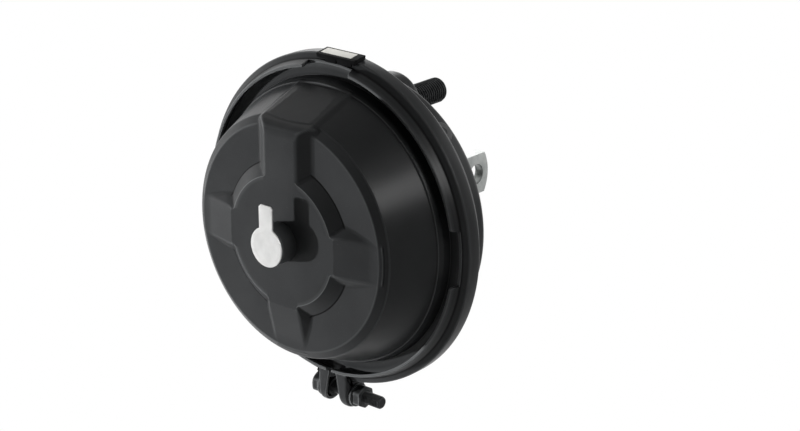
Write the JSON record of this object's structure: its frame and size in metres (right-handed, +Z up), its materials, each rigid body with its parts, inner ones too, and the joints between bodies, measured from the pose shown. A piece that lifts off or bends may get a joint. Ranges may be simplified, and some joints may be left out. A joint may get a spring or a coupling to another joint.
{
  "type": "air brake chamber",
  "caption": "Diaphragm air brake chamber with a ribbed cover, a bolted clamp band, mounting studs, and a sprung push rod with a fork head.",
  "frame": {"origin": "centre of the mounting face, midway between the two studs", "axes": "+Y along the push rod, out of the chamber; +Z up, from the lower stud to the upper one; +X to the right seen from the cover"},
  "size_m": [0.209, 0.1951, 0.2292],
  "materials": {
    "black_paint": "satin black coat",
    "rubber": "matt moulded",
    "spring_steel": "drawn wire",
    "zinc_steel": "zinc plated",
    "seal_metal": "satin",
    "plate_metal": "satin, bare",
    "guide_plastic": "moulded"
  },
  "bodies": {
    "chamber": {"pressure_housing": "black_paint", "port_boss": "black_paint", "diaphragm": "rubber", "clamp_band": "black_paint", "clamp_bolt": "black_paint", "clamp_spacers": "black_paint", "clamp_washer": "black_paint", "clamp_nut": "black_paint", "plate_holder": "black_paint", "data_plate": "plate_metal", "non_pressure_housing": "black_paint", "vent_plugs": "rubber", "stiffening_plate": "black_paint", "stud_upper": "black_paint", "stud_lower": "black_paint", "rod_guide": "guide_plastic", "dust_seal": "rubber", "spring_seat": "black_paint", "return_spring": "spring_steel"},
    "push_rod": {"push_plate": "zinc_steel", "plate_collar": "zinc_steel", "push_rod": "zinc_steel", "fork_lock_nut": "zinc_steel"},
    "fork": {"fork_head": "zinc_steel"},
    "seal": {"seal_disc": "seal_metal"}
  },
  "joints": [
    {"name": "push_rod_stroke", "type": "slide", "parent": "chamber", "child": "push_rod", "axis": [0, 1, 0], "range_m": [0, 0.075], "stiffness_N_per_m": 1600, "springref_m": -0.04, "deforming": ["return_spring", "diaphragm"]},
    {"name": "fork_turn", "type": "hinge", "parent": "push_rod", "child": "fork", "pos_m": [0, 0.0635, 0], "axis": [0, 1, 0], "continuous": true},
    {"name": "seal_pull", "type": "slide", "parent": "chamber", "child": "seal", "axis": [0, -1, 0], "range_m": [0, 0.04]}
  ]
}
